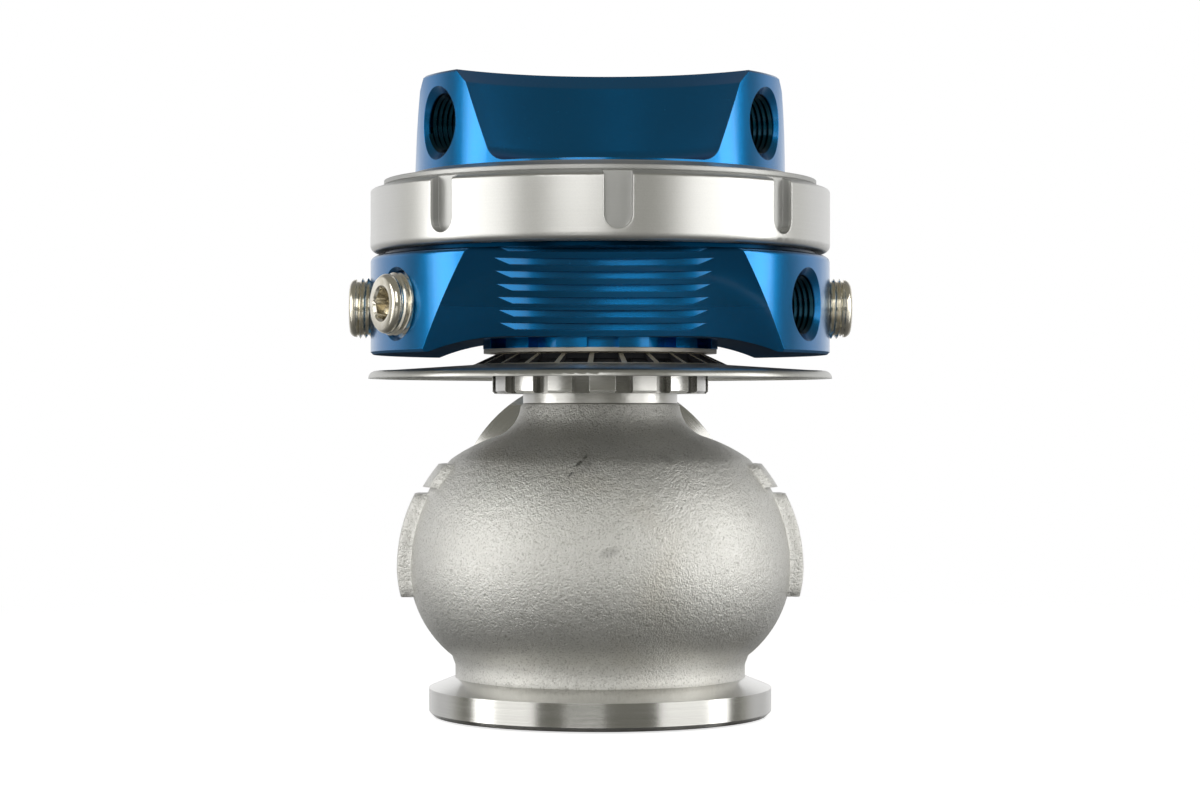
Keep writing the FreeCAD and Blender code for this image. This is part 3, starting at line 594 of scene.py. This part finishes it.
def fan(bm, ring, z, matrix):
    """Closes a ring with triangles to a point on the matrix's Z."""
    tip = bm.verts.new(matrix @ Vector((0, 0, z)))
    for i in range(len(ring)):
        bm.faces.new((ring[i], ring[(i + 1) % len(ring)], tip))


def merge_mesh(bm, mesh, matrix):
    """Adds a mesh to a bmesh after placing it."""
    mesh.transform(matrix)
    bm.from_mesh(mesh)
    bpy.data.meshes.remove(mesh)


SHARP_ANGLE = math.radians(35)


def piece(name, bm, material, body):
    """Makes a piece, shaded smooth with sharp edges kept; with a body it rides on that body."""
    mesh = bpy.data.meshes.new(name)
    bm.to_mesh(mesh)
    bm.free()
    mesh.materials.clear()
    mesh.materials.append(material)
    made = bpy.data.objects.new(name, mesh)
    bpy.context.scene.collection.objects.link(made)
    for polygon in mesh.polygons:
        polygon.use_smooth = True
    mesh.set_sharp_from_angle(angle=SHARP_ANGLE)
    if body:
        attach(made, body)
    return made


# ---- Blanking plugs with thread and hexagon socket ---------------------------------------------
PLUG_PITCH = 25.4 / 27 * MM
PLUG_CREST_R = 5.15 * MM
PLUG_STEPS = 48
PLUG_INNER_END = 29.8 * MM    # from the valve axis
PLUG_ROLL = 17.0              # degrees that each socket is turned, beside the plug's own angle
FRONT_PLUG_SUNK = 0.8 * MM    # how much deeper the plug at -60 degrees sits than its neighbour
THREAD_DEPTH = 0.62 * MM
THREAD_START = 0.5 * MM
THREAD_SPARE = 1.9 * MM       # length of a plug that carries no thread
SOCKET_AF = 5.0 * MM
SOCKET_DEPTH = 4.6 * MM
SOCKET_LEAD_IN = 0.35 * MM
SOCKET_TIP = 0.9 * MM         # depth of the drill point below the socket
HEX_CORNER = 1.155            # corner radius of a hexagon over half its width across flats


def plug_shell(bm, length, matrix):
    """Plug body from its inner end at z = 0 to its face at z = length, with a hexagon socket."""
    root = PLUG_CREST_R - THREAD_DEPTH
    profile = (
        (root - 0.4 * MM, 0.0),
        (root, 0.4 * MM),
        (root, length - 1.25 * MM),
        (PLUG_CREST_R - 0.25 * MM, length - 1.15 * MM),
        (PLUG_CREST_R - 0.30 * MM, length - 0.70 * MM),
        (PLUG_CREST_R - 0.62 * MM, length - 0.22 * MM),
        (PLUG_CREST_R - 1.0 * MM, length),
    )
    rings = [add_ring(bm, [r] * PLUG_STEPS, z, matrix) for r, z in profile]
    for inner, outer in zip(rings, rings[1:]):
        bridge(bm, inner, outer)
    fan(bm, rings[0][::-1], 0, matrix)

    half = SOCKET_AF / 2
    sixth = math.pi / 6
    angles = [2 * math.pi * i / PLUG_STEPS for i in range(PLUG_STEPS)]
    hexagon = [half / math.cos((a + sixth) % (math.pi / 3) - sixth) for a in angles]
    mouth = [half * HEX_CORNER + SOCKET_LEAD_IN / 4] * PLUG_STEPS
    last = rings[-1]
    for radii, deep in ((mouth, 0.0), (hexagon, SOCKET_LEAD_IN), (hexagon, SOCKET_DEPTH)):
        ring = add_ring(bm, radii, length - deep, matrix)
        bridge(bm, last, ring)
        last = ring
    fan(bm, last, length - SOCKET_DEPTH - SOCKET_TIP, matrix)


def blanking_plugs():
    """The three plugs, placed where the CAD plugs are."""
    left, right = -low("blanking_plugs").x, high("blanking_plugs").x
    height = (low("blanking_plugs").z + high("blanking_plugs").z) / 2
    bm = bmesh.new()
    for angle, end in ((-90, left), (-60, left - FRONT_PLUG_SUNK), (90, right)):
        a = math.radians(angle)
        way = Vector((math.sin(a), -math.cos(a), 0))
        matrix = along(Vector((0, 0, height)) + way * PLUG_INNER_END, way)
        matrix = matrix @ Matrix.Rotation(math.radians(PLUG_ROLL + angle), 4, "Z")
        length = end - PLUG_INNER_END
        plug_shell(bm, length, matrix)
        ridge = grown(THREAD_TREE, MATERIALS["plug_nickel"], Radius=PLUG_CREST_R - THREAD_DEPTH,
                      Pitch=PLUG_PITCH, Turns=(length - THREAD_SPARE) / PLUG_PITCH,
                      Half_Height=THREAD_DEPTH, Half_Width=0.46 * PLUG_PITCH)
        merge_mesh(bm, ridge, matrix @ Matrix.Translation((0, 0, THREAD_START)))
    made = piece("plugs_threaded", bm, MATERIALS["plug_nickel"], "actuator")
    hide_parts("blanking_plugs")


# ---- Threads inside the open ports -------------------------------------------------------------
PORT_RIDGE = 0.42 * MM


def port_thread(port):
    """Helical ridge on the wall of an open port; the port's name starts with its body's."""
    place, way, dims = mount(port)
    length, radius = dims["length_mm"] * MM, dims["r_mm"] * MM
    ridge = grown(THREAD_TREE, MATERIALS["port_blue"], Radius=radius + 0.02 * MM,
                  Pitch=PLUG_PITCH, Turns=(length - 0.3 * MM) / PLUG_PITCH,
                  Half_Height=PORT_RIDGE, Half_Width=0.44 * PLUG_PITCH)
    bm = bmesh.new()
    merge_mesh(bm, ridge, along(place - way * (length / 2 - 0.2 * MM), way))
    piece(port.replace("port", "thread"), bm, MATERIALS["port_blue"], port.split("_")[0])


# ---- Springs and diaphragm ---------------------------------------------------------------------
def closing_spring(node, wire, active_turns):
    """Coils with a closed turn at each end, in a CAD spring's place."""
    bottom, top = low(node), high(node)
    length = top.z - bottom.z
    closed = 2 * wire
    bm = bmesh.new()
    for z, pitch, turns in (
        (bottom.z + wire, closed, 1.0),
        (bottom.z + wire + closed, (length - 3 * closed) / active_turns, active_turns),
        (top.z - wire - closed, closed, 1.0),
    ):
        coil = grown(COIL_TREE, MATERIALS["spring_steel"], Radius=top.x - wire, Pitch=pitch,
                     Turns=turns, Half_Height=wire, Half_Width=wire)
        merge_mesh(bm, coil, Matrix.Translation((0, 0, z)))
    made = piece(node + "_coil", bm, MATERIALS["spring_steel"], "actuator")
    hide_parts(node)
    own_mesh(made)


def rolling_diaphragm():
    """Copy of the diaphragm, which lies between its clamped rim and the piston."""
    bm = bmesh.new()
    bm.from_mesh(NODES["diaphragm"].data)
    bmesh.ops.remove_doubles(bm, verts=bm.verts, dist=0.001 * MM)
    made = piece("diaphragm_rolled", bm, MATERIALS["rubber"], None)
    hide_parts("diaphragm")
    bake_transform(made)


# ---- Stage: floor, world, lamps and camera -----------------------------------------------------
FLOOR_HALF = 6.0
FLOOR_GAP = 0.3 * MM
WHITE_FROM, WHITE_AT = 0.09, 0.30      # metres from the axis between which the floor turns white

ROOM_FRONT = 0.22             # radiance of the room that lights the object, where 1 is white
ROOM_BACK = 0.85
ROOM_TOP = 0.20
ROOM_TURN = (0.15, 0.60)      # Y of a ray's direction where the front gives way to the back
WARM = (1.0, 0.985, 0.85)
WHITE = (1.0, 1.0, 1.0)

LAMPS = (
    # name, azimuth in degrees, width, bottom and top, distance in metres, radiance
    ("box_left", -69, 0.84, 0.0, 0.56, 0.90, 1.4),
    ("box_right", 65, 0.94, 0.0, 0.66, 0.90, 1.4),
    ("strip_left", -83, 0.22, 0.0, 0.56, 0.86, 2.0),
    ("strip_right", 83, 0.22, 0.0, 0.66, 0.86, 2.0),
    ("panel_front", -11.5, 0.42, 0.14, 0.80, 0.90, 2.1),
)
LAMP_COLOUR = (1.0, 0.995, 0.98)

CAMERA_PLACE = (-0.010, -0.476, 0.0512)
CAMERA_TURN = -1.2            # degrees about Z


def make_floor():
    """Floor that the camera sees as pale, with the shadow, and white further out.

    Metal near it mirrors a darker, polished table instead, with a painted shadow close to the
    object.
    """
    bm = bmesh.new()
    bmesh.ops.create_grid(bm, x_segments=1, y_segments=1, size=FLOOR_HALF)
    bmesh.ops.translate(bm, verts=bm.verts, vec=(0, 0, -FLOOR_GAP))
    mesh = bpy.data.meshes.new("floor")
    bm.to_mesh(mesh)
    bm.free()
    floor = bpy.data.objects.new("floor", mesh)
    bpy.context.scene.collection.objects.link(floor)

    r = Recipe("pale_floor")
    axis = r.from_axis()
    pale = r.filled(r.node("ShaderNodeAddShader"),
                    r.shader("ShaderNodeBsdfDiffuse", Color=(0.85, 0.85, 0.85)),
                    r.shader("ShaderNodeEmission", Strength=0.76))
    seen = r.mixed(r.ramp(axis, WHITE_FROM, WHITE_AT), pale, r.shader("ShaderNodeEmission"))
    # Painted shadow: the table that metal mirrors is darker close to the object.
    matt = r.blend(r.ramp(axis, 0.05, 0.16), (0.20, 0.20, 0.20), (0.45, 0.45, 0.45))
    facing = r.made_with("ShaderNodeLayerWeight", Blend=0.35).outputs["Facing"]
    table = r.mixed(r.ramp(facing, 0.2, 1.0, 0.10, 0.95),
                    r.shader("ShaderNodeBsdfDiffuse", Color=matt),
                    r.shader("ShaderNodeBsdfGlossy", Color=(0.9, 0.9, 0.9), Roughness=0.12))
    camera_ray = r.node("ShaderNodeLightPath").outputs["Is Camera Ray"]
    r.made_with("ShaderNodeOutputMaterial", Surface=r.mixed(camera_ray, table, seen))
    mesh.materials.append(r.material)


def make_world():
    """White backdrop; the room that lights the object is pale behind it, dim and warm in front."""
    world = bpy.data.worlds.new("studio")
    bpy.context.scene.world = world
    world.use_nodes = True
    w = Graph(world.node_tree, "Generated")
    parts = w.split()
    depth, height = parts[1], parts[2]
    path = w.node("ShaderNodeLightPath").outputs
    mirrored = w.times(w.ramp(depth, 0.75, 0.92),
                       w.most(path["Is Glossy Ray"], path["Is Transmission Ray"]))
    room = w.number(mirrored, w.ramp(depth, *ROOM_TURN, ROOM_FRONT, ROOM_BACK), 1.0)
    room = w.number(w.ramp(height, 0.25, 0.60), room, ROOM_TOP)
    light = w.shader("ShaderNodeBackground", Strength=room,
                     Color=w.blend(w.ramp(depth, *ROOM_TURN), WARM, WHITE))
    white = w.shader("ShaderNodeBackground", Color=WHITE)
    w.made_with("ShaderNodeOutputWorld", Surface=w.mixed(path["Is Camera Ray"], light, white))


def softbox(name, azimuth, width, bottom, top, distance, radiance):
    """Upright area lamp facing the object; azimuth is counted from the front towards +X."""
    lamp = bpy.data.lights.new(name, "AREA")
    lamp.shape = "RECTANGLE"
    lamp.size, lamp.size_y = width, top - bottom
    lamp.energy = radiance * math.pi * width * (top - bottom)
    lamp.color = LAMP_COLOUR
    box = bpy.data.objects.new(name, lamp)
    a = math.radians(azimuth)
    box.location = (distance * math.sin(a), -distance * math.cos(a), (top + bottom) / 2)
    box.rotation_euler = (math.radians(90), 0, a)
    bpy.context.scene.collection.objects.link(box)


def make_camera():
    """Level camera in front of the object, near its middle height."""
    data = bpy.data.cameras.new("front")
    data.lens = 84.0
    data.sensor_width = 36.0
    data.shift_y = 0.0096
    data.clip_start = 0.01
    camera = bpy.data.objects.new("front", data)
    camera.location = CAMERA_PLACE
    camera.rotation_euler = (math.radians(90), 0, math.radians(CAMERA_TURN))
    bpy.context.scene.collection.objects.link(camera)
    bpy.context.scene.camera = camera


def main():
    dress_nodes()
    blanking_plugs()
    for port in PORTS:
        port_thread(port)
    closing_spring("outer_spring", 1.2 * MM, 3.0)
    closing_spring("inner_spring", 0.9 * MM, 5.0)
    rolling_diaphragm()
    make_floor()
    make_world()
    for lamp in LAMPS:
        softbox(*lamp)
    make_camera()
    bpy.context.scene.view_settings.view_transform = "Standard"


main()
